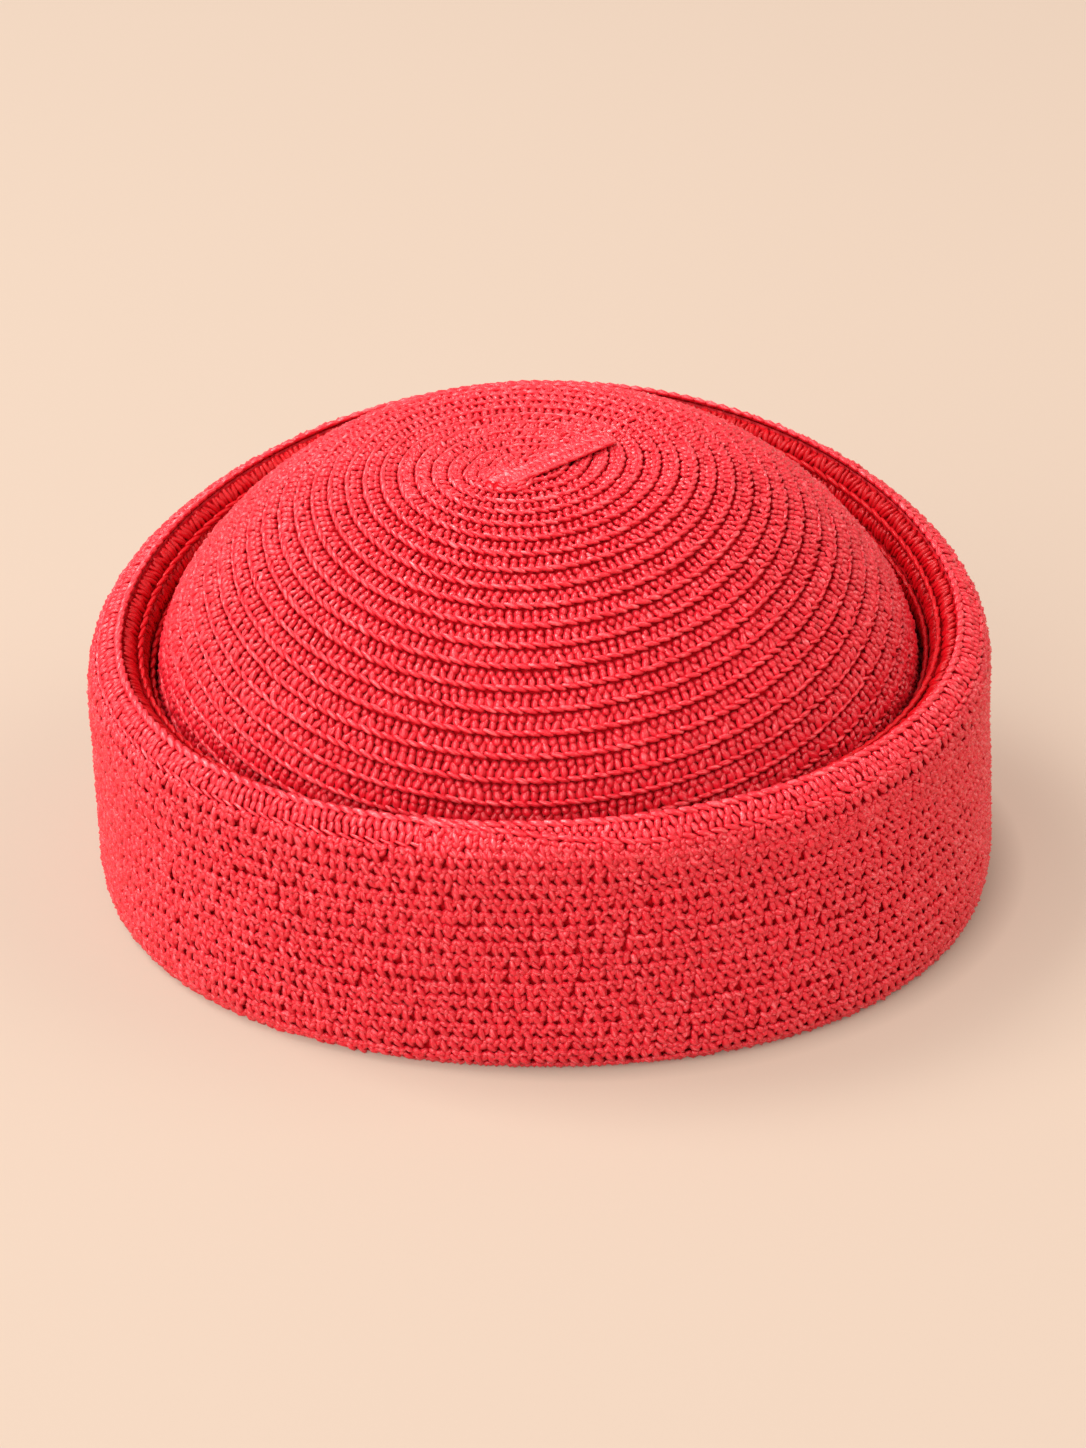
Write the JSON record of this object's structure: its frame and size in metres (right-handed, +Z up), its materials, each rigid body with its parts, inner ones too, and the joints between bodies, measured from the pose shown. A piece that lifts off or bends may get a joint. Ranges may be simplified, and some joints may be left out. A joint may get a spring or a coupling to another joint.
{
  "type": "roll-brim braid hat",
  "caption": "Soft domed hat of spirally sewn crocheted braid, with a brim turned up all round and rolled in at its edge.",
  "frame": {"origin": "centre of the hat's box, on the surface that the fold of the brim rests on", "axes": "+Z up through the crown, +X to the wearer's left, so that -Y is the front"},
  "size_m": [0.2326, 0.2112, 0.1206],
  "materials": {
    "coral_braid": "matt crocheted braid with a soft sheen"
  },
  "bodies": {
    "root": {"crown": "coral_braid", "crown_tip": "coral_braid", "brim_wall": "coral_braid", "edge_braid": "coral_braid", "brim_facing": "coral_braid"}
  },
  "joints": []
}
